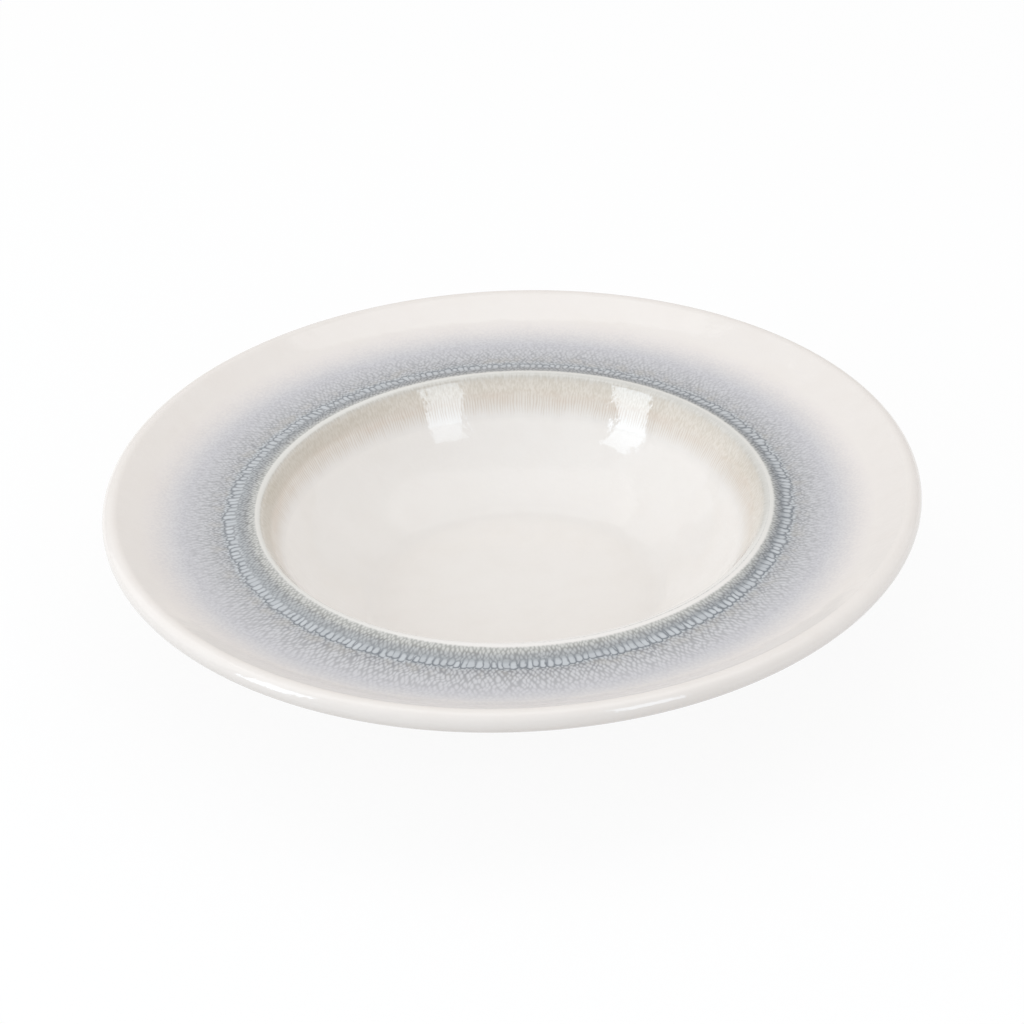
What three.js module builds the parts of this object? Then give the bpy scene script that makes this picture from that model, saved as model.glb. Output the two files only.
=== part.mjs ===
import * as THREE from 'three';

// Wide-rimmed pasta plate in glazed stoneware, standing on z = 0 and round about the z axis.
// Lengths are in millimetres, and angles in radians.

// Sizes of the finished plate, measured over the glaze
const WELL_DIAMETER = 176.7; // across the crest of the lip round the well
const WELL_DEPTH = 38.5; // from the crest of the lip down to the floor
const FLOOR_DIAMETER = 102.6; // across the floor, to the corner of its wall
const FLOOR_FILLET = 12;
const WALL_BELLY = 4.5; // how far the well's wall bows out from a straight cone
const WALL_FILLET = 40; // round of the wall's bow
const LIP_ROUND = 2.4; // radius of the lip's crest
const RIM_WIDTH = 51.65; // from the crest of the lip to the outside of the edge
const DISH_OFFSET = 9.5; // from the crest of the lip to the lowest ring of the rim
const DISH_DROP = 1.8; // how far that ring lies below the crest
const DISH_FILLET = 25;
const UPTURN_WIDTH = 17.5; // from the outside of the edge to where the rim turns up
const UPTURN_START = 0.5; // height of that bend above the crest of the lip
const UPTURN_FILLET = 30;
const EDGE_RISE = 8; // height of the edge above the crest of the lip
const EDGE_ROUND = 3.7; // radius of the rolled edge

// Thicknesses, through the clay and the glaze on both faces
const BASE_THICKNESS = 6;
const WALL_THICKNESS = 6;
const RIM_THICKNESS = 6;
const UNDERSIDE_FILLET = 8; // where the rim's underside meets the well

// Foot ring
const FOOT_HEIGHT = 4.5; // from the table up to the recess inside the ring
const FOOT_STEP = 1.2; // how far the ring's outside lies beyond the floor's corner
const FOOT_WIDTH = 7;
const FOOT_SIDE = 3.6; // height of the ring's outer side
const FOOT_ROUND = 0.8; // rounded corners of the bare bearing face
const HEEL_FILLET = 2; // between the foot ring and the well's wall
const RECESS_FILLET = 1.5;

// Glaze
const GLAZE_THICKNESS = 0.5;
const GLAZE_BOND = 0.05; // clearance between the clay and its glaze
const GLAZE_SEAM = 0.05; // clearance between two zones of glaze
const BARE_FOOT = 1; // height of the strip of foot ring that is wiped free of glaze
const BLUE_BAND_WIDTH = 32; // from the crest of the lip outwards, along the rim
const SAND_BAND_WIDTH = 17; // from the crest of the lip down, along the wall

// Fineness of the facets
const SIDES = 48;
const ARC_STEP = Math.PI / 9;

// Heights and radii that follow from those sizes
const lipRadius = WELL_DIAMETER / 2;
const plateRadius = lipRadius + RIM_WIDTH;
const floorRadius = FLOOR_DIAMETER / 2;
const floorHeight = FOOT_HEIGHT + BASE_THICKNESS;
const lipHeight = floorHeight + WELL_DEPTH;
const edgeHeight = lipHeight + EDGE_RISE;
const footOuter = floorRadius + FOOT_STEP;
const footInner = footOuter - FOOT_WIDTH;
const coat = GLAZE_THICKNESS + GLAZE_BOND;

const point = (r, z) => new THREE.Vector2(r, z);

// A corner of the section, softened by a fillet.
function corner(place, fillet = 0) {
  return { place, fillet, wheel: 0 };
}

// A full round of the section, which the outline passes clockwise.
function roll(place, radius) {
  return { place, fillet: 0, wheel: -radius };
}

// Heading of the straight run between two stops, which touches the rolls at its ends.
function heading(from, to) {
  const way = to.place.clone().sub(from.place);
  return Math.atan2(way.y, way.x) - Math.asin((to.wheel - from.wheel) / way.length());
}

// Turn from one heading to the next: a roll always turns right, and a corner the shorter way.
function turn(before, after, wheel) {
  const least = wheel < 0 ? -2 * Math.PI : -Math.PI;
  return THREE.MathUtils.euclideanModulo(after - before - least, 2 * Math.PI) + least;
}

// Point on a round at the given heading. A positive radius turns left.
function onRound(centre, radius, angle) {
  return point(centre.x + radius * Math.sin(angle), centre.y - radius * Math.cos(angle));
}

// Works out the rounds of an outline from its stops. A fillet takes up half of a side at most.
function rounds(stops) {
  const ways = stops.slice(1).map((stop, i) => heading(stops[i], stop));
  const runs = stops.slice(1).map((stop, i) => stop.place.distanceTo(stops[i].place));
  return stops.map((stop, i) => {
    const start = ways[i - 1] ?? ways[i];
    const sweep = i < ways.length ? turn(start, ways[i], stop.wheel) : 0;
    if (stop.wheel !== 0 || sweep === 0 || stop.fillet === 0) {
      return { centre: stop.place, radius: stop.wheel, start, sweep };
    }
    const half = Math.tan(Math.abs(sweep) / 2);
    const tangent = Math.min(stop.fillet * half, runs[i - 1] / 2, runs[i] / 2);
    const radius = (Math.sign(sweep) * tangent) / half;
    const touch = point(stop.place.x - tangent * Math.cos(start), stop.place.y - tangent * Math.sin(start));
    return { centre: onRound(touch, -radius, start), radius, start, sweep };
  });
}

// Points along an outline that lies the given depth under the surface.
function outline(arcs, depth = 0) {
  return arcs.flatMap(({ centre, radius, start, sweep }) => {
    const steps = Math.ceil(Math.abs(sweep) / ARC_STEP);
    return Array.from({ length: steps + 1 }, (_, k) => {
      const angle = start + (steps ? (sweep * k) / steps : 0);
      return onRound(centre, radius + depth, angle);
    });
  });
}

// Where the straight lines through two points meet.
function meet(a, angleA, b, angleB) {
  const across = b.clone().sub(a);
  const along = (across.x * Math.sin(angleB) - across.y * Math.cos(angleB)) / Math.sin(angleB - angleA);
  return point(a.x + along * Math.cos(angleA), a.y + along * Math.sin(angleA));
}

// Section of the glazed plate, from the middle of the floor over the edge to the foot ring
const floorCorner = point(floorRadius, floorHeight);
const lip = roll(point(lipRadius, lipHeight - LIP_ROUND), LIP_ROUND);
const wallChord = lip.place.clone().sub(floorCorner);
const outward = point(wallChord.y, -wallChord.x).normalize();
const middle = floorCorner.clone().lerp(lip.place, 0.5);
const bow = middle.clone().addScaledVector(outward, WALL_BELLY);
const dish = point(lipRadius + DISH_OFFSET, lipHeight - DISH_DROP);
const bend = point(plateRadius - UPTURN_WIDTH, lipHeight + UPTURN_START);
const edge = roll(point(plateRadius - EDGE_ROUND, edgeHeight - EDGE_ROUND), EDGE_ROUND);

// The underside runs parallel to the rim and to the well's wall
const rimSlope = Math.atan2(bend.y - dish.y, bend.x - dish.x);
const wallSlope = heading(corner(bow), lip);
const underBend = point(bend.x, bend.y - RIM_THICKNESS);
const outsideWall = point(
  bow.x + WALL_THICKNESS * Math.sin(wallSlope),
  bow.y - WALL_THICKNESS * Math.cos(wallSlope),
);
const knee = meet(underBend, rimSlope, outsideWall, wallSlope);
const underBow = bow.clone().addScaledVector(outward, WALL_THICKNESS);

const face = rounds([
  corner(point(0, floorHeight)),
  corner(floorCorner, FLOOR_FILLET),
  corner(bow, WALL_FILLET),
  lip,
  corner(dish, DISH_FILLET),
  corner(bend, UPTURN_FILLET),
  edge,
  corner(underBend, UPTURN_FILLET + RIM_THICKNESS),
  corner(knee, UNDERSIDE_FILLET),
  corner(underBow, WALL_FILLET + WALL_THICKNESS),
  corner(point(footOuter, FOOT_SIDE), HEEL_FILLET),
  corner(point(footOuter, BARE_FOOT)),
]);
const recess = rounds([
  corner(point(footInner, BARE_FOOT)),
  corner(point(footInner, FOOT_HEIGHT), RECESS_FILLET),
  corner(point(0, FOOT_HEIGHT)),
]);
const bareFoot = rounds([
  corner(point(footOuter - coat, FOOT_SIDE)),
  corner(point(footOuter - coat, 0), FOOT_ROUND),
  corner(point(footInner + coat, 0), FOOT_ROUND),
  corner(point(footInner + coat, FOOT_HEIGHT)),
]);

// A coat of glaze: the points of its outer and inner faces, and how far along each pair lies.
function coating(arcs) {
  const outer = outline(arcs);
  const inner = outline(arcs, GLAZE_THICKNESS);
  const lengths = [0];
  outer.slice(1).forEach((p, i) => lengths.push(lengths[i] + p.distanceTo(outer[i])));
  return { outer, inner, lengths, end: lengths.at(-1) };
}

// A pair of points through the coat, at a distance along it.
function station({ outer, inner, lengths }, distance) {
  const next = Math.max(1, lengths.findIndex((length) => length >= distance));
  const share = (distance - lengths[next - 1]) / (lengths[next] - lengths[next - 1]);
  return [outer, inner].map((side) => side[next - 1].clone().lerp(side[next], share));
}

// Section of one zone of a coat, between two distances along it.
function zone(glaze, from, to) {
  const within = (_, i) => glaze.lengths[i] > from && glaze.lengths[i] < to;
  const [outerFrom, innerFrom] = station(glaze, from);
  const [outerTo, innerTo] = station(glaze, to);
  const out = [outerFrom, ...glaze.outer.filter(within), outerTo];
  const back = [innerFrom, ...glaze.inner.filter(within), innerTo].reverse();
  return [...out, ...back];
}

const upper = coating(face);
const beyondLip = upper.outer.findIndex((p) => p.x > lipRadius);
const beforeLip = upper.outer[beyondLip - 1];
const crest = upper.lengths[beyondLip - 1] + (lipRadius - beforeLip.x);
const sandEdge = crest - SAND_BAND_WIDTH;
const blueEdge = crest + BLUE_BAND_WIDTH;
const seam = GLAZE_SEAM / 2;
const lower = coating(recess);

// Revolves a section about the z axis. A section off the axis is closed on itself.
function revolve(name, section, material) {
  const onAxis = section[0].x === 0 || section.at(-1).x === 0;
  const profile = onAxis ? section : [...section, section[0]];
  const geometry = new THREE.LatheGeometry(profile.reverse(), SIDES);
  geometry.rotateX(Math.PI / 2);
  const mesh = new THREE.Mesh(geometry, material);
  mesh.name = name;
  return mesh;
}

// Finishes: bare fired clay, and glossy glazes
const clay = new THREE.MeshStandardMaterial({ color: 0xd8cbb8, roughness: 0.85, metalness: 0 });
const glossy = (color) => new THREE.MeshStandardMaterial({ color, roughness: 0.15, metalness: 0 });
const cream = glossy(0xebe7e3);
const blueGrey = glossy(0xb4b6bb);
const sand = glossy(0xd0c9be);

const bodySection = [
  ...outline(face.slice(0, -1), coat),
  ...outline(bareFoot.slice(1, -1)),
  ...outline(recess.slice(1), coat),
];

const plate = new THREE.Group();
plate.add(
  revolve('stoneware_body', bodySection, clay),
  revolve('well_glaze', zone(upper, 0, sandEdge - seam), cream),
  revolve('sand_band_glaze', zone(upper, sandEdge + seam, crest - seam), sand),
  revolve('blue_band_glaze', zone(upper, crest + seam, blueEdge - seam), blueGrey),
  revolve('rim_glaze', zone(upper, blueEdge + seam, upper.end), cream),
  revolve('base_glaze', zone(lower, 0, lower.end), cream),
);

export default plate;
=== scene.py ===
# %% [markdown]
# # A pasta plate in glazed stoneware
# The plate is one piece of fired clay with a coat of glaze on it. Where the glaze is cream it
# hides the clay, and round the lip of the well two reactive glazes break into sand-coloured
# streaks and blue-grey cells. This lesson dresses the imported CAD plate: every solid of the
# CAD model gets a smooth piece of the same section in its place, and each coat gets a
# finish that changes with the distance from the lip, as the real glaze does.

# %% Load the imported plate
import math
from collections import namedtuple

import bmesh
import bpy
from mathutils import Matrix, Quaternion, Vector


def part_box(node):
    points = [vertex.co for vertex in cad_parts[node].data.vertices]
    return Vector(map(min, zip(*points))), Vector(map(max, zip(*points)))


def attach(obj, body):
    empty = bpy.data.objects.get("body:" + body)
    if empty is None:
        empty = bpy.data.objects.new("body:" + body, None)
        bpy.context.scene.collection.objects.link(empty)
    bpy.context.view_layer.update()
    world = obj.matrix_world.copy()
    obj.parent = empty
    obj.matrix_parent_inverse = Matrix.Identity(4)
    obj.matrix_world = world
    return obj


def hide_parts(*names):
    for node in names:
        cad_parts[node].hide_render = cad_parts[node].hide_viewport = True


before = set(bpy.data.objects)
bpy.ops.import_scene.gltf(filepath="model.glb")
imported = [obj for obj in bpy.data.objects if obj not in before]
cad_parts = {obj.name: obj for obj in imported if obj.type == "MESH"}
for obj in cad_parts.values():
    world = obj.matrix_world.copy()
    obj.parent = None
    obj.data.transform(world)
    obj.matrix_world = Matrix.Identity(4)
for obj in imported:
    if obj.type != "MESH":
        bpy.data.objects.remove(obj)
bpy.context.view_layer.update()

MM = 0.001
for name in sorted(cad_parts):
    low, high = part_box(name)
    size = (high - low) / MM
    print(f"{name}: {size.x:.1f} x {size.y:.1f} x {size.z:.1f} mm, from z {low.z / MM:.1f} mm")

# %% [markdown]
# ## The section
# A plate like this is shaped on a turning wheel by a template, so one section tells its whole
# form: flat floor, bowed wall, rounded lip, dished rim, rolled edge, and below it the same
# forms again one wall thickness away. A Screw modifier on a curve could turn it, but a curve
# has no true fillets. Here the section is a row of stops in millimetres, as in the CAD model.
# A stop is a corner with a fillet, or a full round that the outline rolls over.

# %% Sizes of the plate, in millimetres
WELL_DIAMETER = 176.7  # across the crest of the lip
WELL_DEPTH = 38.5  # from the crest down to the floor
FLOOR_DIAMETER = 102.6  # to the corner of the wall
FLOOR_FILLET = 12
WALL_BELLY = 4.5  # how far the wall bows out from a straight cone
WALL_FILLET = 40
LIP_ROUND = 2.4  # radius of the crest
RIM_WIDTH = 51.65  # from the crest to the outside of the edge
DISH_OFFSET = 9.5  # from the crest to the lowest ring of the rim
DISH_DROP = 1.8  # how far that ring lies below the crest
DISH_FILLET = 25
UPTURN_WIDTH = 17.5  # from the outside of the edge to where the rim turns up
UPTURN_START = 0.5  # height of that bend above the crest
UPTURN_FILLET = 30
EDGE_RISE = 8  # height of the edge above the crest
EDGE_ROUND = 3.7  # radius of the rolled edge
THICKNESS = 6  # of base, wall and rim, with the glaze on both faces
UNDERSIDE_FILLET = 8  # where the rim's underside meets the well
FOOT_HEIGHT = 4.5  # from the table up to the recess inside the foot ring
FOOT_STEP = 1.2  # how far the ring's outside lies beyond the floor's corner
FOOT_WIDTH = 7
FOOT_SIDE = 3.6  # height of the ring's outer side
FOOT_ROUND = 0.8  # corners of the bare bearing face
HEEL_FILLET = 2  # between the foot ring and the wall
RECESS_FILLET = 1.5
BARE_FOOT = 1  # height of the strip that is wiped free of glaze
GLAZE_THICKNESS = 0.5
GLAZE_BOND = 0.05  # clearance between the clay and its glaze
BLUE_BAND_WIDTH = 32  # from the crest outwards, along the rim
SAND_BAND_WIDTH = 17  # from the crest down, along the wall

lip_radius = WELL_DIAMETER / 2
plate_radius = lip_radius + RIM_WIDTH
floor_radius = FLOOR_DIAMETER / 2
floor_height = FOOT_HEIGHT + THICKNESS
lip_height = floor_height + WELL_DEPTH
edge_height = lip_height + EDGE_RISE
foot_outer = floor_radius + FOOT_STEP
foot_inner = foot_outer - FOOT_WIDTH
coat = GLAZE_THICKNESS + GLAZE_BOND
print(f"plate {2 * plate_radius:.1f} mm across and {edge_height:.1f} mm high")
print(f"lip {lip_height:.1f} mm above the table")

# %% Corners, rolls and the straight runs between them
Round = namedtuple("Round", "centre radius start turn")


def corner(r, z, fillet=0):
    return {"place": Vector((r, z)), "fillet": fillet, "wheel": 0}


def roll(r, z, radius):
    return {"place": Vector((r, z)), "fillet": 0, "wheel": -radius}


def heading(start, end):
    """Heading of the run between two stops, which touches the rolls at its ends."""
    way = end["place"] - start["place"]
    return math.atan2(way.y, way.x) - math.asin((end["wheel"] - start["wheel"]) / way.length)


def along(angle):
    return Vector((math.cos(angle), math.sin(angle)))


def on_round(centre, radius, angle):
    """Point on a round at a heading. A positive radius turns left."""
    return centre + radius * Vector((math.sin(angle), -math.cos(angle)))


def rounds(stops):
    """The rounds of an outline: centre, radius, heading at the start, and turn."""
    ways = [heading(a, b) for a, b in zip(stops, stops[1:])]
    found = []
    for i, stop in enumerate(stops):
        start = ways[max(i - 1, 0)]
        turn = (ways[i] - start if i < len(ways) else 0) % math.tau
        if turn > math.pi or (turn and stop["wheel"]):
            turn -= math.tau
        if not stop["fillet"]:
            found.append(Round(stop["place"], stop["wheel"], start, turn))
            continue
        radius = math.copysign(stop["fillet"], turn)
        touch = stop["place"] - abs(radius * math.tan(turn / 2)) * along(start)
        found.append(Round(on_round(touch, -radius, start), radius, start, turn))
    return found


# %% The outline over the top and under the rim
floor_corner = corner(floor_radius, floor_height, FLOOR_FILLET)
lip = roll(lip_radius, lip_height - LIP_ROUND, LIP_ROUND)
chord = lip["place"] - floor_corner["place"]
outward = Vector((chord.y, -chord.x)).normalized()
bow = corner(*(floor_corner["place"] + chord / 2 + WALL_BELLY * outward), WALL_FILLET)
dish = corner(lip_radius + DISH_OFFSET, lip_height - DISH_DROP, DISH_FILLET)
bend = corner(plate_radius - UPTURN_WIDTH, lip_height + UPTURN_START, UPTURN_FILLET)
edge = roll(plate_radius - EDGE_ROUND, edge_height - EDGE_ROUND, EDGE_ROUND)

wall_slope = heading(bow, lip)
rim_slope = heading(dish, bend)
lip_leave = heading(lip, dish)
wall_top = on_round(lip["place"], -LIP_ROUND, wall_slope)
sand_border = wall_top - (SAND_BAND_WIDTH - LIP_ROUND * wall_slope) * along(wall_slope)

under_bend = bend["place"] - Vector((0, THICKNESS))
across = on_round(bow["place"], THICKNESS, wall_slope) - under_bend
lean = across.x * math.sin(wall_slope) - across.y * math.cos(wall_slope)
knee = under_bend + lean / math.sin(wall_slope - rim_slope) * along(rim_slope)
under_bow = bow["place"] + THICKNESS * outward

face = rounds([
    corner(0, floor_height),
    floor_corner,
    bow,
    corner(*sand_border),
    lip,
    dish,
    bend,
    edge,
    corner(*under_bend, UPTURN_FILLET + THICKNESS),
    corner(*knee, UNDERSIDE_FILLET),
    corner(*under_bow, WALL_FILLET + THICKNESS),
    corner(foot_outer, FOOT_SIDE, HEEL_FILLET),
    corner(foot_outer, BARE_FOOT),
])
recess = rounds([
    corner(foot_inner, BARE_FOOT),
    corner(foot_inner, FOOT_HEIGHT, RECESS_FILLET),
    corner(0, FOOT_HEIGHT),
])
bare_foot = rounds([
    corner(foot_outer - coat, FOOT_SIDE),
    corner(foot_outer - coat, 0, FOOT_ROUND),
    corner(foot_inner + coat, 0, FOOT_ROUND),
    corner(foot_inner + coat, FOOT_HEIGHT),
])
print(f"sand border r {sand_border.x:.1f} z {sand_border.y:.1f}")

# %% [markdown]
# ## Drawing and turning a section
# Each piece is drawn as a wire and spun once round the axis. The wire starts from one vertex:
# extruding the vertex draws a straight run, and spinning it about a fillet's centre draws the
# round, so both keep their true size. A coat of glaze is drawn out along its face and back
# half a millimetre deeper, which closes its section, so the turned piece is a closed shell and
# Blender can tell its outside from its inside.

# %% The pen
TURN_STEP = math.radians(4)
SAME_PLACE = 1e-7  # metres
NO_TURN, NO_RADIUS = 1e-6, 1e-6  # radians and millimetres


class Pen:
    """Draws a section in the XZ plane, noting how far along and how deep each point lies."""

    def __init__(self):
        self.bm = bmesh.new()
        self.gone = self.bm.verts.layers.float.new("gone")
        self.deep = self.bm.verts.layers.float.new("deep")
        self.tip = None

    def note(self, vert, gone, depth):
        self.tip = vert
        vert[self.gone] = gone
        vert[self.deep] = depth

    def run_to(self, place, depth):
        """A straight run to a place in the section."""
        spot = Vector((place.x, 0, place.y)) * MM
        if self.tip is None:
            self.note(self.bm.verts.new(spot), 0, depth)
            return
        run = (spot - self.tip.co).length
        if run > SAME_PLACE:
            gone = self.tip[self.gone] + run / MM
            vert = bmesh.ops.extrude_vert_indiv(self.bm, verts=[self.tip])["verts"][0]
            vert.co = spot
            self.note(vert, gone, depth)

    def round(self, centre, turn, depth):
        """A round about a centre, in equal steps."""
        steps = math.ceil(abs(turn) / TURN_STEP)
        pivot = Vector((centre.x, 0, centre.y)) * MM
        step = (self.tip.co - pivot).length / MM * abs(turn) / steps
        for _ in range(steps):
            gone = self.tip[self.gone] + step
            made = bmesh.ops.spin(
                self.bm, geom=[self.tip], cent=pivot, axis=(0, -1, 0), angle=turn / steps, steps=1
            )
            self.note(made["geom_last"][0], gone, depth)

    def trace(self, outline, depth=0.0, back=False):
        """Follows an outline at a depth under its face, forwards or back."""
        for centre, radius, start, turn in reversed(outline) if back else outline:
            first = start + turn if back else start
            self.run_to(on_round(centre, radius + depth, first), depth)
            if abs(turn) > NO_TURN and abs(radius + depth) > NO_RADIUS:
                self.round(centre, -turn if back else turn, depth)


# %% [markdown]
# ## Laying the faces out flat
# When the plate is exported its finishes are baked into pictures, and a picture needs a flat
# layout of the faces. Blender's own unwrapping would give half of the picture to the hidden
# side of each coat. Here a ring is unrolled into a few straight strips, and a disc is laid
# flat, while the hidden side gets only a narrow place beside them.

# %% Strips for a ring
# Shares of a strip's height: the open face, the hidden face, and the two edges of the coat
OPEN_FROM, OPEN_SHARE = 0.02, 0.88
HIDDEN_FROM, HIDDEN_SHARE = 0.93, 0.04
FIRST_EDGE, LAST_EDGE = 0.98, 0.92
STRIP_MARGIN = 0.005


def unroll(bm, pen, strips):
    """Strips of a ring, one above the other, each with its hidden side as a thin strip on top."""
    seen = [v[pen.gone] for v in bm.verts if not v[pen.deep]]
    hidden = [v[pen.gone] for v in bm.verts if v[pen.deep]]
    first, last = min(seen), max(seen)
    inner_first, inner_last = min(hidden), max(hidden)
    flat = bm.loops.layers.uv.new("OFBake")
    sector = math.tau / strips
    for f in bm.faces:
        middle = f.calc_center_median()
        turn = math.atan2(middle.y, middle.x) % math.tau
        strip = min(int(turn / sector), strips - 1)
        open_side = not any(v[pen.deep] for v in f.verts)
        for spot in f.loops:
            v = spot.vert
            gone = v[pen.gone]
            away = math.atan2(v.co.y, v.co.x) - turn
            u = turn + (away + math.pi) % math.tau - math.pi - strip * sector
            if open_side:
                height = OPEN_FROM + OPEN_SHARE * (gone - first) / (last - first)
            elif v[pen.deep]:
                inner = (gone - inner_first) / (inner_last - inner_first)
                height = HIDDEN_FROM + HIDDEN_SHARE * inner
            else:
                height = FIRST_EDGE if gone < (first + last) / 2 else LAST_EDGE
            sideways = STRIP_MARGIN + (1 - 2 * STRIP_MARGIN) * u / sector
            spot[flat].uv = (sideways, (strip + height) / strips)


# %% A flat place for a disc
# Shares of the picture: the disc, and in a corner its hidden side with the coat's edge round it
DISC_MIDDLE, DISC_REACH = 0.5, 0.49
CORNER_MIDDLE, CORNER_REACH, CORNER_EDGE = 0.075, 0.055, 0.065


def lay_flat(bm, pen):
    """A disc seen from above, and its hidden side as a small disc in a corner of the picture."""
    reach = max(v.co.xy.length for v in bm.verts)
    flat = bm.loops.layers.uv.new("OFBake")
    for f in bm.faces:
        open_side = not any(v[pen.deep] for v in f.verts)
        middle = DISC_MIDDLE if open_side else CORNER_MIDDLE
        for spot in f.loops:
            v = spot.vert
            hidden_scale = CORNER_REACH if v[pen.deep] else CORNER_EDGE
            scale = DISC_REACH if open_side else hidden_scale
            spot[flat].uv = Vector((middle, middle)) + v.co.xy / reach * scale


# %% The turning wheel
SIDES = 216
SHARP = math.radians(35)


def turned(name, pen, strips=0):
    """Spins a drawn section once round the axis. With no strips its layout is a flat disc."""
    bm = pen.bm
    bm.verts.ensure_lookup_table()
    ends = bm.verts[0], bm.verts[-1]
    if any(v.co.x > SAME_PLACE for v in ends):
        bm.edges.new(ends)
    bmesh.ops.spin(
        bm, geom=bm.verts[:] + bm.edges[:], cent=(0, 0, 0), axis=(0, 0, 1),
        angle=math.tau, steps=SIDES, use_merge=True,
    )
    bmesh.ops.remove_doubles(bm, verts=bm.verts[:], dist=SAME_PLACE)
    bmesh.ops.recalc_face_normals(bm, faces=bm.faces[:])
    if strips:
        unroll(bm, pen, strips)
    else:
        lay_flat(bm, pen)
    for f in bm.faces:
        f.smooth = True
    for e in bm.edges:
        e.smooth = e.calc_face_angle(0) < SHARP
    mesh = bpy.data.meshes.new(name)
    bm.to_mesh(mesh)
    piece = bpy.data.objects.new(name, mesh)
    bpy.context.scene.collection.objects.link(piece)
    open_edges = sum(not e.is_manifold for e in bm.edges)
    millilitres = bm.calc_volume() / (10 * MM) ** 3
    print(f"{name}: {len(bm.faces)} faces, {open_edges} open edges, {millilitres:.1f} ml")
    bm.free()
    return piece


def glazed(name, outline, strips=0):
    """A coat of glaze over a stretch of outline. Where that ends on the axis, its back is first."""
    pen = Pen()
    if outline[-1].centre.x == 0:
        pen.trace(outline, GLAZE_THICKNESS, back=True)
        pen.trace(outline)
    else:
        pen.trace(outline)
        pen.trace(outline, GLAZE_THICKNESS, back=True)
    return turned(name, pen, strips)


# %% [markdown]
# ## The pieces
# Glaze covers the whole plate except the bearing face of the foot ring, which is wiped clean
# so that it doesn't stick in the kiln. Its colours change at the crest of the lip and along two
# rings, so it is made as four coats that meet edge to edge, and a fifth fills the recess inside
# the foot ring. Each one can be repainted. Under them lies the clay body, which shows only on
# the foot ring.

# %% Borders of the glazes
def cut(arc, turn):
    """Cuts a round in two, after the given turn."""
    return arc._replace(turn=turn), arc._replace(start=arc.start + turn, turn=arc.turn - turn)


def point_on(arc, angle):
    return on_round(arc.centre, arc.radius, angle)


sand_start, lip_arc, dish_arc, bend_arc = face[3:7]
lip_inside, lip_outside = cut(lip_arc, -lip_arc.start)
run_down = point_on(dish_arc, lip_leave) - point_on(lip_arc, lip_leave)
run_up = point_on(bend_arc, rim_slope) - point_on(dish_arc, rim_slope)
gone = LIP_ROUND * abs(lip_outside.turn) + abs(dish_arc.radius * dish_arc.turn)
gone += run_down.length + run_up.length
bend_inside, bend_outside = cut(bend_arc, (BLUE_BAND_WIDTH - gone) / bend_arc.radius)
blue_border = point_on(bend_outside, bend_outside.start)
print(f"blue border r {blue_border.x:.1f}, after {gone:.1f} mm of rim before the bend")

# %% Turn the coats and the body
well_coat = glazed("well_coat", face[:4])
sand_coat = glazed("sand_band_coat", [sand_start, lip_inside], 5)
blue_coat = glazed("blue_band_coat", [lip_outside, dish_arc, bend_inside], 4)
rim_coat = glazed("rim_coat", [bend_outside, *face[7:]], 2)
base_coat = glazed("base_coat", recess)

body_pen = Pen()
body_pen.trace(face[:-1], coat)
body_pen.trace(bare_foot[1:-1])
body_pen.trace(recess[1:], coat)
clay_body = turned("clay_body", body_pen, 3)

# %% [markdown]
# ## Shader maths as expressions
# The finishes are sums of distances, noises and masks. Wiring each Math node by hand would hide
# the sums, so one small class wraps a socket: an expression on such values adds its nodes.

# %% A value in a material
class Signal:
    """A socket of a material's nodes, so that shader maths reads as plain expressions."""

    def __init__(self, tree, socket):
        self.tree = tree
        self.socket = socket

    def node(self, kind, settings=None, sockets=None, out=0):
        """Adds any node: its settings first, then the values or links of its sockets."""
        made = self.tree.nodes.new(kind)
        for key, value in (settings or {}).items():
            if key == "stops":
                ramp = made.color_ramp
                while len(ramp.elements) < len(value):
                    ramp.elements.new(1.0)
                for stop, (place, colour) in zip(ramp.elements, value):
                    stop.position = place
                    stop.color = colour
            else:
                setattr(made, key, value)
        for key, value in (sockets or {}).items():
            if isinstance(value, Signal):
                self.tree.links.new(value.socket, made.inputs[key])
            else:
                made.inputs[key].default_value = value
        return Signal(self.tree, made.outputs[out] if made.outputs else None)

    def part(self, out):
        """Another output of the same node."""
        return Signal(self.tree, self.socket.node.outputs[out])

    def maths(self, operation, *others):
        values = dict(enumerate((self, *others)))
        return self.node("ShaderNodeMath", {"operation": operation}, values)

    def __add__(self, other):
        return self.maths("ADD", other)

    def __sub__(self, other):
        return self.maths("SUBTRACT", other)

    def __mul__(self, other):
        return self.maths("MULTIPLY", other)

    def __truediv__(self, other):
        return self.maths("DIVIDE", other)

    def __rsub__(self, other):
        return self.node("ShaderNodeMath", {"operation": "SUBTRACT"}, {0: other, 1: self})

    __radd__ = __add__
    __rmul__ = __mul__

    def between(self, low, high):
        """Rises smoothly from 0 at low to 1 at high, and falls where low is the greater."""
        return self.node(
            "ShaderNodeMapRange", {"interpolation_type": "SMOOTHSTEP"},
            {"Value": self, "From Min": low, "From Max": high},
        )

    def within(self, start, full, fade, end):
        """Rises smoothly from start to full, and falls again from fade to end."""
        return self.between(start, full) * self.between(end, fade)

    def mixed(self, first, second):
        """The first colour where this value is 0, the second where it is 1."""
        return self.node(
            "ShaderNodeMix", {"data_type": "RGBA"}, {0: self, 6: first, 7: second}, out=2
        )

    def by_distance(self, stops):
        """A colour for each distance in millimetres, blended in between."""
        reach = stops[-1][0]
        shares = [(place / reach, colour) for place, colour in stops]
        return self.node("ShaderNodeValToRGB", {"stops": shares}, {0: self / reach})


def srgb(red, green, blue):
    """A colour as a picture program shows it, in the linear values that shaders use."""
    shares = [c / 255 for c in (red, green, blue)]
    return (*(c / 12.92 if c <= 0.04045 else ((c + 0.055) / 1.055) ** 2.4 for c in shares), 1.0)


# %% Starting and ending a finish
GLASS = 1.58  # refractive index, which sets how strongly a glaze reflects


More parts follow.
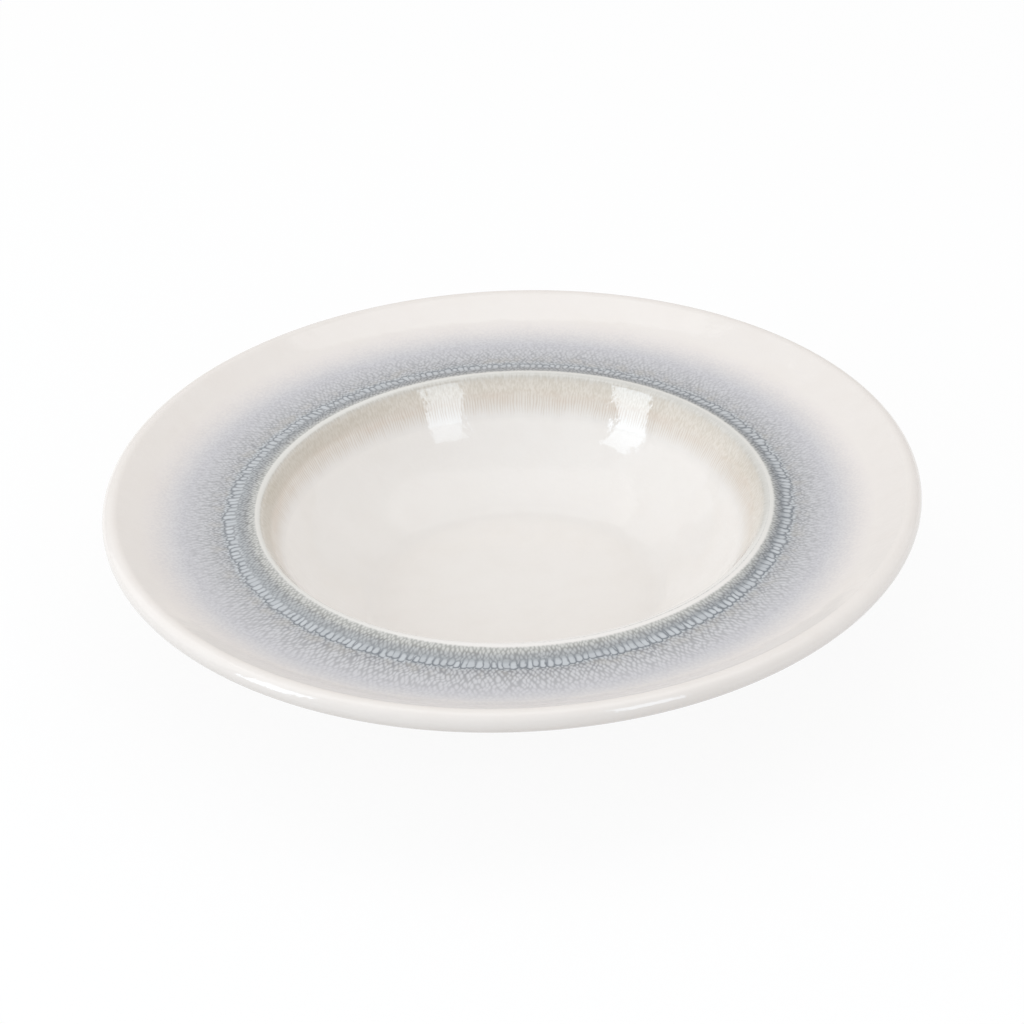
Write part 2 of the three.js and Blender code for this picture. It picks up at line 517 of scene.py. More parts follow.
def start_finish(name):
    """A new material, and the place on the plate in millimetres."""
    material = bpy.data.materials.new(name)
    material.use_nodes = True
    tree = material.node_tree
    tree.nodes.clear()
    spot = Signal(tree, tree.nodes.new("ShaderNodeTexCoord").outputs["Object"])
    place = spot.node("ShaderNodeVectorMath", {"operation": "SCALE"}, {0: spot, "Scale": 1 / MM})
    return material, place


def noise(place, size, detail=2.0):
    """Soft blotches of about that size in millimetres, from 0 to 1."""
    return place.node(
        "ShaderNodeTexNoise", None,
        {"Vector": place, "Scale": 1 / size, "Detail": detail, "Roughness": 0.5},
    )


def end_finish(material, colour, roughness, relief, glass=GLASS):
    """Wires the shader. The relief is a height in millimetres."""
    bump = relief.node("ShaderNodeBump", None, {"Height": relief, "Strength": 1.0, "Distance": MM})
    shader = colour.node(
        "ShaderNodeBsdfPrincipled", None,
        {"Base Color": colour, "Roughness": roughness, "IOR": glass, "Normal": bump},
    )
    shader.node("ShaderNodeOutputMaterial", None, {"Surface": shader})
    print(f"{material.name}: {len(material.node_tree.nodes)} nodes")


# %% [markdown]
# ## The skin of a glaze
# Fired glaze is glass: glossy, but never flat. It keeps a faint orange-peel waviness, which
# frays the edges of the lamps' reflections in the well. Waves a few millimetres long and a
# few hundredths of a millimetre high are enough, so they are a bump and not geometry. The
# gloss also varies a little from patch to patch, and the blue band is softer than the rest.

# %% Waves and gloss
FINE_WAVE, FINE_HEIGHT = 1.8, 0.045
SLOW_WAVE, SLOW_HEIGHT = 6.0, 0.13
SATIN, GLOSSY = (0.1, 0.16), (0.04, 0.07)  # least and most roughness


def glaze_waves(place):
    fine = noise(place, FINE_WAVE, 1.0)
    slow = noise(place, SLOW_WAVE, 0.0)
    return fine * FINE_HEIGHT + slow * SLOW_HEIGHT


def gloss(place, roughness, patch):
    """Roughness between two values, in patches of that size in millimetres."""
    least, most = roughness
    return least + noise(place, patch) * (most - least)


# %% [markdown]
# ## Distances round the lip
# Both reactive glazes were laid on the turning plate and ran outwards and downwards from the lip.
# Their patterns follow rings, so they are worked out from the distance to the axis and from the
# direction. The blue ring sits about a millimetre and a half off centre and is a little oval, as
# hand-sprayed bands are. A noise on a ring of fixed radius closes on itself, with no seam
# where the angle starts again.

# %% A ring of the pattern
RING_RADIUS = 100.0


class Ring:
    """The plate seen from its axis: distance, direction, and vectors for ring patterns."""

    def __init__(self, place, off_x=0.0, off_y=0.0, oval=0.0):
        split = place.node("ShaderNodeSeparateXYZ", None, {0: place})
        x = (split.part("X") - off_x) * (1 + oval)
        y = (split.part("Y") - off_y) * (1 - oval)
        self.z = split.part("Z")
        self.radius = (x * x + y * y).maths("SQRT")
        self.east = x / self.radius
        self.north = y / self.radius
        self.angle = y.maths("ARCTAN2", x)

    def blotches(self, distance, width, length, detail=1.0):
        """Noise about zero, in blotches of that width round the ring and length across it."""
        turn = RING_RADIUS / width
        spot = distance.node(
            "ShaderNodeCombineXYZ", None,
            {"X": self.east * turn, "Y": self.north * turn, "Z": distance / length},
        )
        return noise(spot, 1.0, detail) - 0.5


# %% [markdown]
# ## Cells in staggered rows
# As they cool, reactive glazes part into cells, packed in rows like scales with every second row
# half a step aside. A Voronoi texture would scatter its cells too freely, so the rows are made
# here from two grids of the same size, one half a step off the other. Each cell is moved and
# resized by a little luck, taken from the number of its column and row.

# %% A net of cells
CELL_SHIFT, CELL_GROWTH = 0.36, 0.12  # shares of a cell
STAGGER = 0.5


def luck(place, dimensions):
    """Three fixed random values from 0 to 1 for a whole number or a row of whole numbers."""
    socket = "W" if dimensions == "1D" else "Vector"
    drawn = place.node(
        "ShaderNodeTexWhiteNoise", {"noise_dimensions": dimensions}, {socket: place}, out="Color"
    )
    lots = drawn.node("ShaderNodeSeparateColor", None, {0: drawn})
    return lots.part("Red"), lots.part("Green"), lots.part("Blue")


def by_luck(lot, spread):
    """A random value from 0 to 1 as a change of up to half the spread either way."""
    return lot * spread - spread / 2


def grid_of_cells(angle, rows, columns, step):
    """Distance to the middle of the grid's cell, in shares of a cell."""
    share = angle * (columns / math.tau) + step
    line = rows + step
    column, row = share.maths("FLOOR"), line.maths("FLOOR")
    number = row.node(
        "ShaderNodeCombineXYZ", None,
        {"X": column.maths("FLOORED_MODULO", columns), "Y": row, "Z": step},
    )
    red, green, blue = luck(number, "3D")
    aside = share - column - 0.5 + by_luck(red, CELL_SHIFT)
    ahead = line - row - 0.5 + by_luck(green, CELL_SHIFT)
    return (aside * aside + ahead * ahead).maths("SQRT") + by_luck(blue, CELL_GROWTH)


def cell_net(angle, rows, columns):
    """Distance to the nearest middle of two staggered grids: 0 in a cell, about 0.5 between."""
    first = grid_of_cells(angle, rows, columns, 0.0)
    return first.maths("MINIMUM", grid_of_cells(angle, rows, columns, STAGGER))


# %% [markdown]
# ## The line on the lip
# Molten glaze draws back from a crest, so it is thin on the lip and leaves a pale line there. A
# ring of its own could carry the line, but its edges fray into the glaze on both sides. It is a
# mask by distance from the crest instead, which both glazes share. Like the blue band it is a
# little off centre and oval. Along the near side, except at the left, the line takes the cream
# of the well and widens down into it.

# %% The light line along the lip
LINE_OFF_X, LINE_OFF_Y, LINE_OVAL = 0.95, -0.1, 0.0042
LINE_RADIUS = lip_radius + 0.3
LINE_CORE, LINE_REACH, NEAR_REACH = 0.35, 1.45, 6.0
FRAY_WIDTH, FRAY_LENGTH = 1.5, 3.0
CREAM_NORTH, CREAM_EAST = (-0.1, -0.7), (-0.9, -0.1)
LIP_LINE = srgb(235, 232, 226)
WELL_CREAM = srgb(245, 240, 235)


def lip_line(place, near_reach=0.0):
    """1 on the crest of the lip, where the glaze runs thin, and the colour of that line."""
    ring = Ring(place, LINE_OFF_X, LINE_OFF_Y, LINE_OVAL)
    aside, below = ring.radius - LINE_RADIUS, ring.z - lip_height
    creamy = ring.north.between(*CREAM_NORTH) * ring.east.between(*CREAM_EAST)
    reach = LINE_REACH + ring.blotches(aside, FRAY_WIDTH, FRAY_LENGTH) + creamy * near_reach
    mask = (aside * aside + below * below).maths("SQRT").between(reach, LINE_CORE)
    return mask, creamy.mixed(LIP_LINE, WELL_CREAM)


# %% [markdown]
# ## The blue band
# On the rim the blue glaze has parted into rows of small cells by the lip, one ring of long
# light dashes with dark outer ends, a net of fine grey cells outside it, and soft radial streaks
# that fade into the cream. A picture wrapped round the rim would blur close by, so the band is
# worked out from distance and direction. Rows and streaks are one net, whose rows grow longer
# outwards and loosen into grain. The dashes are larger, so each one is a drop at its own angle,
# wider at its outer end, with a little luck in its place, length, width and shade. Its dark
# outline pushes the net aside. On the near side the rows and dashes are longer.

# %% Where the band lies
BAND_OFF_X, BAND_OFF_Y, BAND_OVAL = -1.1, -1.05, 0.0066
NEAR_SIDE = (-0.3, -0.95)
WANDER, WANDER_SIZE, WANDER_FROM = 1.6, 8.0, (1.0, 7.0)
LEAN, LEAN_EAST, LEAN_NORTH, LEAN_FROM = 0.4, 0.7, 1.65, (12.0, 26.0)


def band_place(place):
    """The band's ring, the distance from the crest as the glaze ran, and 1 on the near side."""
    ring = Ring(place, BAND_OFF_X, BAND_OFF_Y, BAND_OVAL)
    plain = ring.radius - lip_radius
    wander = ring.blotches(plain, WANDER_SIZE, WANDER_SIZE) * plain.between(*WANDER_FROM) * WANDER
    lean = ring.north * LEAN_NORTH + ring.east * LEAN_EAST + LEAN
    out = plain + wander + lean * plain.between(*LEAN_FROM)
    return ring, out, ring.north.between(*NEAR_SIDE)


# %% Rows, streaks and grain
BAND_COLUMNS = 384
BAND_ROW, NEAR_ROW, STREAK_START, STREAK_ROW = 2.1, 0.9, 15.0, 3.8
SWAY_SIZE, SWAY_TURN = 5.0, 0.02
CELL_EDGE = (0.48, 0.08)
GRAIN_WIDTH, GRAIN_LENGTH, GRAIN_EDGE = 0.8, 0.9, (-0.2, 0.2)
LOOSE, LOOSE_FROM = 0.4, (9.0, 12.0)
LOOSER, LOOSER_FROM = 0.5, (20.0, 27.0)


def band_net(ring, out, near):
    """1 in the cells of the net and 0 on its lines, with grain mixed in outside the dashes."""
    beyond = (out - STREAK_START).maths("MAXIMUM", 0.0)
    rows = (out - beyond) / (BAND_ROW + near * NEAR_ROW) + beyond / STREAK_ROW
    sway = ring.blotches(out, SWAY_SIZE, SWAY_SIZE)
    net = cell_net(ring.angle + sway * SWAY_TURN, rows + sway, BAND_COLUMNS).between(*CELL_EDGE)
    grain = ring.blotches(out, GRAIN_WIDTH, GRAIN_LENGTH).between(*GRAIN_EDGE)
    loose = (1 - near) * LOOSE * out.between(*LOOSE_FROM) + out.between(*LOOSER_FROM) * LOOSER
    return net + (grain - net) * loose


# %% The ring of dashes
DASHES = 262
DASH_PITCH = math.tau * RING_RADIUS / DASHES
DASH_MIDDLE, DASH_HALF_LENGTH, NEAR_LENGTH = 7.4, 0.75, 0.4
DASH_BUNCHING, BUNCH_SIZE = 0.9, 7.0
DASH_SHIFT, DASH_SLIDE, DASH_STRETCH = 0.26, 1.2, 1.0
DASH_FATNESS, DASH_FLARE = 0.24, 0.1
WOBBLE_WIDTH, WOBBLE_LENGTH, WOBBLE_ASIDE, WOBBLE_EDGE = 1.6, 2.2, 0.8, 0.5


def dash_ring(ring, out, near):
    """Distance in millimetres from the spine of the nearest dash, and the luck of its shade."""
    bunching = ring.blotches(out, BUNCH_SIZE, BUNCH_SIZE) * DASH_BUNCHING
    share = ring.angle * (DASHES / math.tau) + bunching
    column = share.maths("FLOOR")
    red, green, blue = luck(column.maths("FLOORED_MODULO", DASHES), "1D")
    wobble = ring.blotches(out, WOBBLE_WIDTH, WOBBLE_LENGTH)
    shift = share - column - 0.5 + by_luck(red, DASH_SHIFT)
    aside = shift * DASH_PITCH + wobble * WOBBLE_ASIDE
    ahead = out - DASH_MIDDLE - by_luck(green, DASH_SLIDE)
    straight = DASH_HALF_LENGTH + by_luck(blue, DASH_STRETCH) + near * NEAR_LENGTH
    past = (ahead.maths("ABSOLUTE") - straight).maths("MAXIMUM", 0.0)
    spine = (aside * aside + past * past).maths("SQRT")
    fatness = (red - green) * DASH_FATNESS + ahead * DASH_FLARE
    return spine - fatness + wobble * WOBBLE_EDGE, green


print(f"{DASHES} dashes, {DASH_PITCH:.2f} mm apart")

# %% [markdown]
# ## Colours of the band
# The colours change with the distance from the crest: grey by the lip, the darkest ring just
# inside the dashes, then ever lighter out to the cream. One row of colours is for the lines of
# the net and one for its cells. The dark ring lies further out on the right. On the lip's outer
# slope it carries painted light on the left and near side and painted shade on the far and right
# side, as that slope turns towards or away from the lamps. Outside the dashes the net carries a
# little painted shade on the near side, with warm patches of glaze all round.

# %% Colours by distance from the crest of the lip
CREAM = srgb(243, 236, 230)
NETWORK = [
    (0.0, srgb(178, 177, 172)), (1.6, srgb(163, 162, 158)), (2.7, srgb(143, 143, 142)),
    (4.0, srgb(127, 128, 129)), (5.5, srgb(124, 127, 130)), (7.0, srgb(152, 154, 157)),
    (10.0, srgb(152, 154, 157)), (11.4, srgb(150, 150, 152)), (16.6, srgb(174, 173, 175)),
    (24.0, srgb(196, 194, 197)), (28.5, srgb(215, 211, 212)), (36.0, srgb(238, 231, 227)),
    (39.0, CREAM),
]
CELLS = [
    (0.0, srgb(214, 212, 207)), (1.6, srgb(208, 207, 203)), (2.7, srgb(193, 193, 192)),
    (4.0, srgb(177, 178, 179)), (5.5, srgb(174, 177, 180)), (6.8, srgb(205, 208, 211)),
    (10.2, srgb(207, 210, 213)), (11.4, srgb(205, 205, 207)), (13.0, srgb(209, 208, 210)),
    (16.6, srgb(212, 211, 213)), (24.0, srgb(215, 213, 216)), (26.5, srgb(219, 217, 218)),
    (33.0, srgb(236, 230, 226)), (36.0, srgb(241, 234, 229)), (39.0, CREAM),
]
RING_SHIFT, RING_EAST, RING_NORTH, RING_UP_TO = 0.14, 0.7, -0.28, (9.0, 6.0)
RIGHT_SHIFT, RIGHT_SIDE, RIGHT_UP_TO = 1.3, (0.2, 0.9), (5.4, 3.6)


def band_tone(ring, out):
    """The distance that picks the colours, with the dark ring further out on the right."""
    shift = RING_SHIFT + ring.east * RING_EAST + ring.north * RING_NORTH
    tone = out - shift * out.between(*RING_UP_TO)
    return tone - ring.east.between(*RIGHT_SIDE) * out.between(*RIGHT_UP_TO) * RIGHT_SHIFT


# %% Painted light and shade on the band, and warm glaze
# Painted light on the left and near side and painted shade on the far and right side of the lip's
# outer slope
RING_LIGHT_GREY = srgb(205, 207, 208)
PAINTED_SHADE_BLUE = srgb(104, 110, 118)
WARM_PATCH = srgb(194, 188, 178)
DARK_RING = (2.0, 4.0, 6.0, 8.5)
RING_LIGHT, RING_LIGHT_EAST, RING_LIGHT_NORTH = 0.1, -0.1, -0.13
RING_SHADE, FAR_SIDE = 0.12, (0.3, 0.9)
RING_SHADE_EAST, RING_SHADE_NORTH, RING_SHADE_SIDE = 1.2, -0.3, (0.95, 1.25)
SHADED, SHADED_RING = 0.1, (9.0, 10.5, 12.0, 16.0)
WARM, WARM_RING = 0.3, (9.5, 11.5, 13.0, 17.0)
WARM_WIDTH, WARM_LENGTH, WARM_EDGE = 4.0, 5.0, (-0.05, 0.2)


def light_shade_and_warmth(colour, ring, out, near):
    """Paints light and shade on the dark ring by side, shade on the near net, and warm patches."""
    dark_ring = out.within(*DARK_RING)
    # Painted light: the dark ring is lighter on the left and near side of the lip's outer slope
    side_light = (RING_LIGHT + ring.east * RING_LIGHT_EAST + ring.north * RING_LIGHT_NORTH).maths("MAXIMUM", 0.0)
    colour = (side_light * dark_ring).mixed(colour, RING_LIGHT_GREY)
    # Painted shade: the dark ring is darker on the far and right side, where the slope turns from
    # the lamps
    right = (ring.east * RING_SHADE_EAST + ring.north * RING_SHADE_NORTH).between(*RING_SHADE_SIDE)
    side_shade = ring.north.between(*FAR_SIDE) + right
    colour = (side_shade * dark_ring * RING_SHADE).mixed(colour, PAINTED_SHADE_BLUE)
    # Painted shade: the net outside the dashes is a little darker on the near side
    colour = (near * out.within(*SHADED_RING) * SHADED).mixed(colour, PAINTED_SHADE_BLUE)
    patches = ring.blotches(out, WARM_WIDTH, WARM_LENGTH).between(*WARM_EDGE)
    return (patches * out.within(*WARM_RING) * WARM).mixed(colour, WARM_PATCH)


# %% The whole band
DASH_CLOSED = (DASH_MIDDLE - 3.0, DASH_MIDDLE - 0.4)
DASH_EDGE, NET_EDGE, DIMMEST_DASH = (1.22, 0.45), (1.2, 1.7), 0.78
DASH_OUTLINE, OUTLINE_EDGE = srgb(122, 127, 133), (1.9, 1.1)
OUTLINE, OUTLINE_NEAR, OUTLINE_EAST, OUTLINE_BLOTS = 0.2, 0.4, 0.1, 0.6
BLOT_WIDTH, BLOT_LENGTH, BLOT_EDGE = 2.6, 5.0, (-0.2, 0.16)


def band_colour(place):
    """Colour and cell mask of the rim's upper face."""
    ring, out, near = band_place(place)
    spine, shade = dash_ring(ring, out, near)
    closed = out.between(*DASH_CLOSED)
    apart = spine.between(*NET_EDGE).maths("MAXIMUM", 1 - closed)
    dash = spine.between(*DASH_EDGE) * (DIMMEST_DASH + shade * (1 - DIMMEST_DASH))
    mask = dash.maths("MAXIMUM", band_net(ring, out, near) * apart)
    blots = ring.blotches(out, BLOT_WIDTH, BLOT_LENGTH).between(*BLOT_EDGE)
    strength = OUTLINE + near * OUTLINE_NEAR + ring.east * OUTLINE_EAST + blots * OUTLINE_BLOTS
    outline = spine.between(*OUTLINE_EDGE) * closed * strength
    tone = band_tone(ring, out)
    lines = outline.mixed(tone.by_distance(NETWORK), DASH_OUTLINE)
    colour = light_shade_and_warmth(mask.mixed(lines, tone.by_distance(CELLS)), ring, out, near)
    crest, line = lip_line(place)
    return crest.mixed(colour, line), mask * (1 - crest)


# %% The blue finish
CELL_RELIEF = 0.01
BAND_PATCH = 2.0


def blue_finish():
    material, place = start_finish("blue_reactive_glaze")
    colour, mask = band_colour(place)
    relief = glaze_waves(place) + mask * CELL_RELIEF
    end_finish(material, colour, gloss(place, SATIN, BAND_PATCH), relief)
    return material


blue_material = blue_finish()

# %% [markdown]
# ## The sand band
# Inside the lip the glaze runs down the wall: first a finely mottled sand colour, with painted
# shade on the left, then clouds of faint rust, and below them a comb of pale bars a millimetre
# apart, in which it ends. The mottle is a noise of small grains. A Wave texture could draw the
# bars, but all of them alike. Here the last tongues of sand run between the bars, each with a
# little luck in its width and length.

# %% The comb
COMB_COLUMNS, COMB_START, COMB_END = 505, 8.0, 16.0
COMB_SWAY, SWAY_WIDTH, SWAY_LENGTH = 1.6, 3.0, 7.0
TONGUE_GROWTH, TONGUE_EDGE = 0.12, (0.18, 0.44)
TONGUE_STRETCH, TONGUE_END = 2.4, (1.2, -4.5)


def comb(ring, depth):
    """1 on the tongues of sand between the pale bars of the comb."""
    sway = ring.blotches(depth, SWAY_WIDTH, SWAY_LENGTH) * COMB_SWAY
    share = ring.angle * (COMB_COLUMNS / math.tau) + sway
    column = share.maths("FLOOR")
    red, green, _ = luck(column.maths("FLOORED_MODULO", COMB_COLUMNS), "1D")
    aside = (share - column - 0.5).maths("ABSOLUTE") + by_luck(red, TONGUE_GROWTH)
    left_over = (depth + green * TONGUE_STRETCH - COMB_END).between(*TONGUE_END)
    return aside.between(*TONGUE_EDGE) * left_over


# %% Colours down the wall, by distance from the crest of the lip
SAND = [
    (0.0, srgb(216, 213, 206)), (0.7, srgb(203, 198, 189)), (1.6, srgb(210, 202, 190)),
    (6.0, srgb(216, 207, 194)), (9.0, srgb(217, 206, 194)), (15.0, srgb(224, 214, 204)),
    (18.0, WELL_CREAM),
]
STREAKS = [
    (0.0, srgb(220, 217, 211)), (1.2, srgb(217, 212, 204)), (3.0, srgb(225, 218, 208)),
    (6.0, srgb(230, 222, 212)), (9.0, srgb(230, 223, 214)), (12.0, srgb(233, 227, 220)),
    (15.0, srgb(239, 234, 229)), (18.0, WELL_CREAM),
]
TUFT_WIDTH, TUFT_LENGTH, TUFT_RUN, TUFT_COMB = 6.0, 30.0, 2.0, 3.0
RUN_EAST, RUN_NORTH, RUN_FROM = -0.8, 0.6, (1.0, 6.0)
MOTTLE_WIDTH, MOTTLE_LENGTH, MOTTLE_EDGE = 0.75, 1.6, (-0.2, 0.2)
COMB_FROM = (COMB_START - 1.5, COMB_START + 1.5)
RUST, RUST_SHARE, RUST_RING = srgb(214, 192, 173), 0.22, (4.5, 8.0, 9.0, 12.5)
CLOUD_WIDTH, CLOUD_LENGTH, CLOUD_DETAIL, CLOUD_EDGE = 14.0, 4.0, 2.0, (-0.15, 0.2)
# Painted shade: the upper sand is darker on the left side of the well
SAND_SHADE, SAND_SHADE_SHARE, SAND_SHADE_RING = srgb(184, 175, 160), 0.36, (1.5, 3.5, 6.0, 9.0)
LEFT_SIDE = (-0.2, -0.9)


def wall_colour(place):
    """Colour of the well, from the crest of the lip down."""
    ring = Ring(place)
    depth = (lip_height - ring.z) / math.sin(wall_slope)
    tufts = ring.blotches(depth, TUFT_WIDTH, TUFT_LENGTH)
    longer = ring.north * RUN_NORTH + ring.east * RUN_EAST + tufts * TUFT_RUN
    run = depth + longer * depth.between(*RUN_FROM)
    mottle = ring.blotches(depth, MOTTLE_WIDTH, MOTTLE_LENGTH).between(*MOTTLE_EDGE)
    lower = (run + tufts * TUFT_COMB).between(*COMB_FROM)
    pale = mottle * (1 - lower) + (1 - comb(ring, depth)) * lower
    colour = pale.mixed(run.by_distance(SAND), run.by_distance(STREAKS))
    clouds = ring.blotches(depth, CLOUD_WIDTH, CLOUD_LENGTH, CLOUD_DETAIL).between(*CLOUD_EDGE)
    colour = (clouds * depth.within(*RUST_RING) * RUST_SHARE).mixed(colour, RUST)
    # Painted shade: the upper sand is darker on the left, where the wall turns from the lamps
    side_shade = ring.east.between(*LEFT_SIDE) * depth.within(*SAND_SHADE_RING)
    colour = (side_shade * SAND_SHADE_SHARE).mixed(colour, SAND_SHADE)
    crest, line = lip_line(place, NEAR_REACH)
    return crest.mixed(colour, line)


# %% The sand finish
def sand_finish():
    material, place = start_finish("sand_reactive_glaze")
    roughness = gloss(place, GLOSSY, BAND_PATCH)
    end_finish(material, wall_colour(place), roughness, glaze_waves(place))
    return material


sand_material = sand_finish()

# %% [markdown]
# ## The cream glaze
# The cream covers the floor, the outer rim and the underside. On the rim it still carries the
# last of the blue streaks and in the well the last of the sand, so each takes the colour of the
# band beside it, which ends in cream. Cream itself is slightly clouded. In the well the lamps'
# reflections are weaker below the sand band, so there the glaze has a lower refractive index.

# %% Three creams
WELL_GLASS = 1.45
CREAM_PATCH = 3.0
CLOUD, CLOUD_SIZE, CLOUD_FROM = 0.25, 11.0, (0.35, 0.8)
CLOUD_TINT = srgb(249, 247, 245)
UPPER_FACE = (lip_height - 2.5, lip_height - 1.5)
BASE_CLOUD, BASE_SHADE = 25.0, srgb(233, 228, 224)


def clouded(place, colour):
    """Faint clouds in the glaze, slightly warmer and darker."""
    cloud = noise(place, CLOUD_SIZE, 3.0).between(*CLOUD_FROM)
    return cloud.node(
        "ShaderNodeMix", {"data_type": "RGBA", "blend_type": "MULTIPLY"},
        {0: cloud * CLOUD, 6: colour, 7: CLOUD_TINT}, out=2,
    )


def cream_finish(name, colour_at, glass=GLASS):
    material, place = start_finish(name)
    colour = clouded(place, colour_at(place))
    end_finish(material, colour, gloss(place, GLOSSY, CREAM_PATCH), glaze_waves(place), glass)
    return material


def rim_colour(place):
    """The fading band on the upper face of the rim, and cream on the underside."""
    band, _ = band_colour(place)
    height = place.node("ShaderNodeSeparateXYZ", None, {0: place}).part("Z")
    return height.between(*UPPER_FACE).mixed(CREAM, band)


def base_colour(place):
    return noise(place, BASE_CLOUD, 0.0).mixed(CREAM, BASE_SHADE)


well_material = cream_finish("cream_glaze_well", wall_colour, WELL_GLASS)
rim_material = cream_finish("cream_glaze_rim", rim_colour)
base_material = cream_finish("cream_glaze_base", base_colour)

# %% [markdown]
# ## The bare clay
# Only the foot ring shows the fired clay: matt, warm grey, gritty, with iron specks, and rubbed
# smooth in rings where it was fettled. It is the one surface without gloss. Its grain is far
# too fine to model, so it is a noise, and the specks are the middles of some Voronoi cells.

# %% Bare stoneware
WARM_CLAY, PALE_CLAY, IRON = srgb(205, 190, 168), srgb(219, 207, 190), srgb(128, 98, 70)
CLAY_PATCH = 6.0
GRIT, GRIT_HEIGHT = 0.5, 0.06
MATT, GRIT_MATT = 0.78, 0.15
SPECK_EDGE, SPECK_PATCH, SPECK_FROM = (0.3, 0.16), 1.7, (0.55, 0.7)
MARK_LENGTH, MARK_WIDTH, MARK_HEIGHT = 60.0, 0.35, 0.03


def clay_finish():
    material, place = start_finish("bare_stoneware")
    ring = Ring(place)
    grit = noise(place, GRIT, 3.0)
    body = noise(place, CLAY_PATCH, 3.0).mixed(WARM_CLAY, PALE_CLAY)
    grains = place.node(
        "ShaderNodeTexVoronoi", {"feature": "F1"}, {"Vector": place, "Scale": 1.0}, out="Distance"
    )
    some = noise(place, SPECK_PATCH, 1.0).between(*SPECK_FROM)
    colour = (grains.between(*SPECK_EDGE) * some).mixed(body, IRON)
    marks = ring.blotches(ring.radius, MARK_LENGTH, MARK_WIDTH)
    relief = grit * GRIT_HEIGHT + marks * MARK_HEIGHT
    end_finish(material, colour, MATT + grit * GRIT_MATT, relief)
    return material


clay_material = clay_finish()

# %% [markdown]
# ## Fitting the pieces to the frame
# Each piece takes the place of one solid of the CAD model and rides on its only body.

# %% Dress, ride and replace
FITTINGS = [
    (clay_body, clay_material, "stoneware_body", "clay"),
    (well_coat, well_material, "well_glaze", "cream_glaze"),
    (sand_coat, sand_material, "sand_band_glaze", "sand_glaze"),
    (blue_coat, blue_material, "blue_band_glaze", "blue_glaze"),
    (rim_coat, rim_material, "rim_glaze", "cream_glaze"),
    (base_coat, base_material, "base_glaze", "cream_glaze"),
]
for piece, material, node, slot in FITTINGS:
    piece.data.materials.append(material)
    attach(piece, "root")
    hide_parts(node)
    print(f"{piece.name} stands for {node}, painted as {slot}")

# %% [markdown]
# ## Floor and room
# The plate stands on a white sheet in a pale room. The camera and every reflection see the sheet
# almost as plain white, with a little of its lit surface, so the soft shadow stays and the
# sheet melts into the background. Light that bounces off the sheet meets a greyer one, so that
# the lower half of the plate's edge stays shaded.

# %% White sheet and pale room
SHEET = 6.0
FILL = 0.645
PLAIN_WHITE = 0.9
WHITE = (1.0, 1.0, 1.0, 1.0)
BOUNCE = (0.65, 0.64, 0.63, 1.0)

bm = bmesh.new()
bmesh.ops.create_grid(bm, x_segments=8, y_segments=8, size=SHEET / 2)
sheet_mesh = bpy.data.meshes.new("sheet")
bm.to_mesh(sheet_mesh)
bm.free()
sheet = bpy.data.objects.new("sheet", sheet_mesh)
bpy.context.scene.collection.objects.link(sheet)

sheet_material = bpy.data.materials.new("white_sheet")
sheet_material.use_nodes = True
tree = sheet_material.node_tree
tree.nodes.clear()
path = Signal(tree, tree.nodes.new("ShaderNodeLightPath").outputs["Is Camera Ray"])
seen = path + path.part("Is Glossy Ray") + path.part("Is Transmission Ray")
seen = seen.maths("MINIMUM", 1.0)
matt = seen.node("ShaderNodeBsdfDiffuse", None, {"Color": seen.mixed(BOUNCE, WHITE)})
bright = seen.node("ShaderNodeEmission", None, {"Color": WHITE, "Strength": 1.0})
both = seen.node("ShaderNodeMixShader", None, {0: seen * PLAIN_WHITE, 1: matt, 2: bright})
both.node("ShaderNodeOutputMaterial", None, {"Surface": both})
sheet_mesh.materials.append(sheet_material)

world = bpy.data.worlds.new("pale_room")
world.use_nodes = True
room = world.node_tree.nodes["Background"]
room.inputs["Color"].default_value = WHITE
room.inputs["Strength"].default_value = FILL
bpy.context.scene.world = world
print(f"sheet {SHEET:.0f} m wide, room light {FILL}")

# %% [markdown]
# ## Lamps
# The reflections in the wall of the well show where the lamps stood: a bright box to the left of
# the camera, a weaker one to its right, and a broad dim one overhead, with a dim panel on each
# side. Following a reflection's edges back out of the plate gives a box its direction and its
# size as seen from the plate. Its power follows from its brightness. Both boxes are dimmer at
# the top, so each is a stack, and a little bluer than the panels: their reflections are plain
# white on the warm glaze.

# %% Soft boxes and panels
LAMP_DISTANCE = 1.3
PLATE_MIDDLE = Vector((0, 0, 0.04))
DAYLIGHT, NEUTRAL = (0.75, 0.88, 1.0), (1.0, 1.0, 1.0)


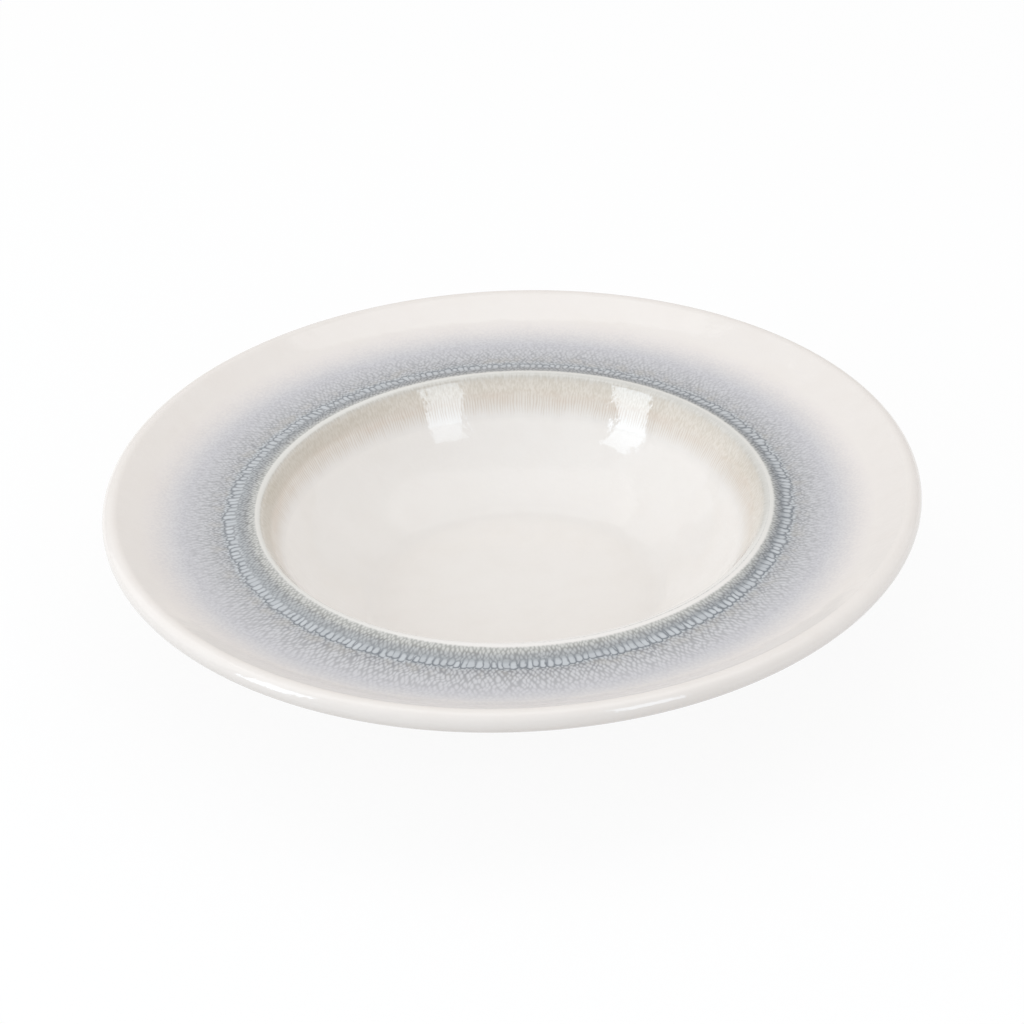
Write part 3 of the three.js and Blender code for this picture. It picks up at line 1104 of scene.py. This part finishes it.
def soft_box(name, azimuth, elevation, width, height, brightness, tint=NEUTRAL):
    """Angles in degrees, the azimuth from the camera's side towards the right."""
    turn, rise = math.radians(azimuth), math.radians(elevation)
    level = math.cos(rise)
    way = Vector((math.sin(turn) * level, -math.cos(turn) * level, math.sin(rise)))
    lamp = bpy.data.lights.new(name, "AREA")
    lamp.shape = "RECTANGLE"
    lamp.size = 2 * LAMP_DISTANCE * math.tan(math.radians(width) / 2)
    lamp.size_y = 2 * LAMP_DISTANCE * math.tan(math.radians(height) / 2)
    lamp.energy = brightness * math.pi * lamp.size * lamp.size_y
    lamp.color = tint
    box = bpy.data.objects.new(name, lamp)
    box.location = PLATE_MIDDLE + way * LAMP_DISTANCE
    box.rotation_euler = way.to_track_quat("Z", "Y").to_euler()
    box.visible_camera = False
    bpy.context.scene.collection.objects.link(box)
    print(f"{name}: {lamp.size:.2f} x {lamp.size_y:.2f} m, {lamp.energy:.1f} W")


soft_box("left_box", -64, 17.25, 15, 27.5, 4.8, DAYLIGHT)
soft_box("left_box_top", -64, 34.75, 15, 7.5, 3.9, DAYLIGHT)
soft_box("right_box", 33, 23.5, 16, 23, 3.5, DAYLIGHT)
soft_box("right_box_top", 33, 37.25, 16, 4.5, 2.6, DAYLIGHT)
soft_box("top_box", 180, 85, 74, 31, 0.7)
soft_box("left_panel", -105, 30, 50, 50, 0.55)
soft_box("right_panel", 105, 30, 50, 50, 0.2)

# %% [markdown]
# ## Camera
# The plate was photographed from about 32 degrees above the table with a long lens, held about
# two degrees off level. The lip's middle lies a little above the middle of the picture.

# %% Camera
EYE_DISTANCE = 1.1
EYE_ELEVATION = math.radians(31.727)
EYE_ROLL = math.radians(-2.351)
PICTURE = 1024
FOCAL_PIXELS = 3197.5
LIP_ABOVE_MIDDLE = 13.19
SENSOR = 36.0

lip_middle = Vector((0, 0, lip_height * MM))
back = Vector((0, -math.cos(EYE_ELEVATION), math.sin(EYE_ELEVATION)))
upward = Vector((0, math.sin(EYE_ELEVATION), math.cos(EYE_ELEVATION)))
eye = lip_middle + EYE_DISTANCE * back
aim = lip_middle - upward * (LIP_ABOVE_MIDDLE * EYE_DISTANCE / FOCAL_PIXELS)
lens = bpy.data.cameras.new("camera")
lens.sensor_fit = "HORIZONTAL"
lens.sensor_width = SENSOR
lens.lens = FOCAL_PIXELS * SENSOR / PICTURE
camera = bpy.data.objects.new("camera", lens)
camera.location = eye
level = (aim - eye).to_track_quat("-Z", "Y")
camera.rotation_euler = (level @ Quaternion((0, 0, 1), EYE_ROLL)).to_euler()
bpy.context.scene.collection.objects.link(camera)
bpy.context.scene.camera = camera
bpy.context.scene.view_settings.view_transform = "Standard"
print(f"camera {eye.length:.2f} m away, lens {lens.lens:.1f} mm")
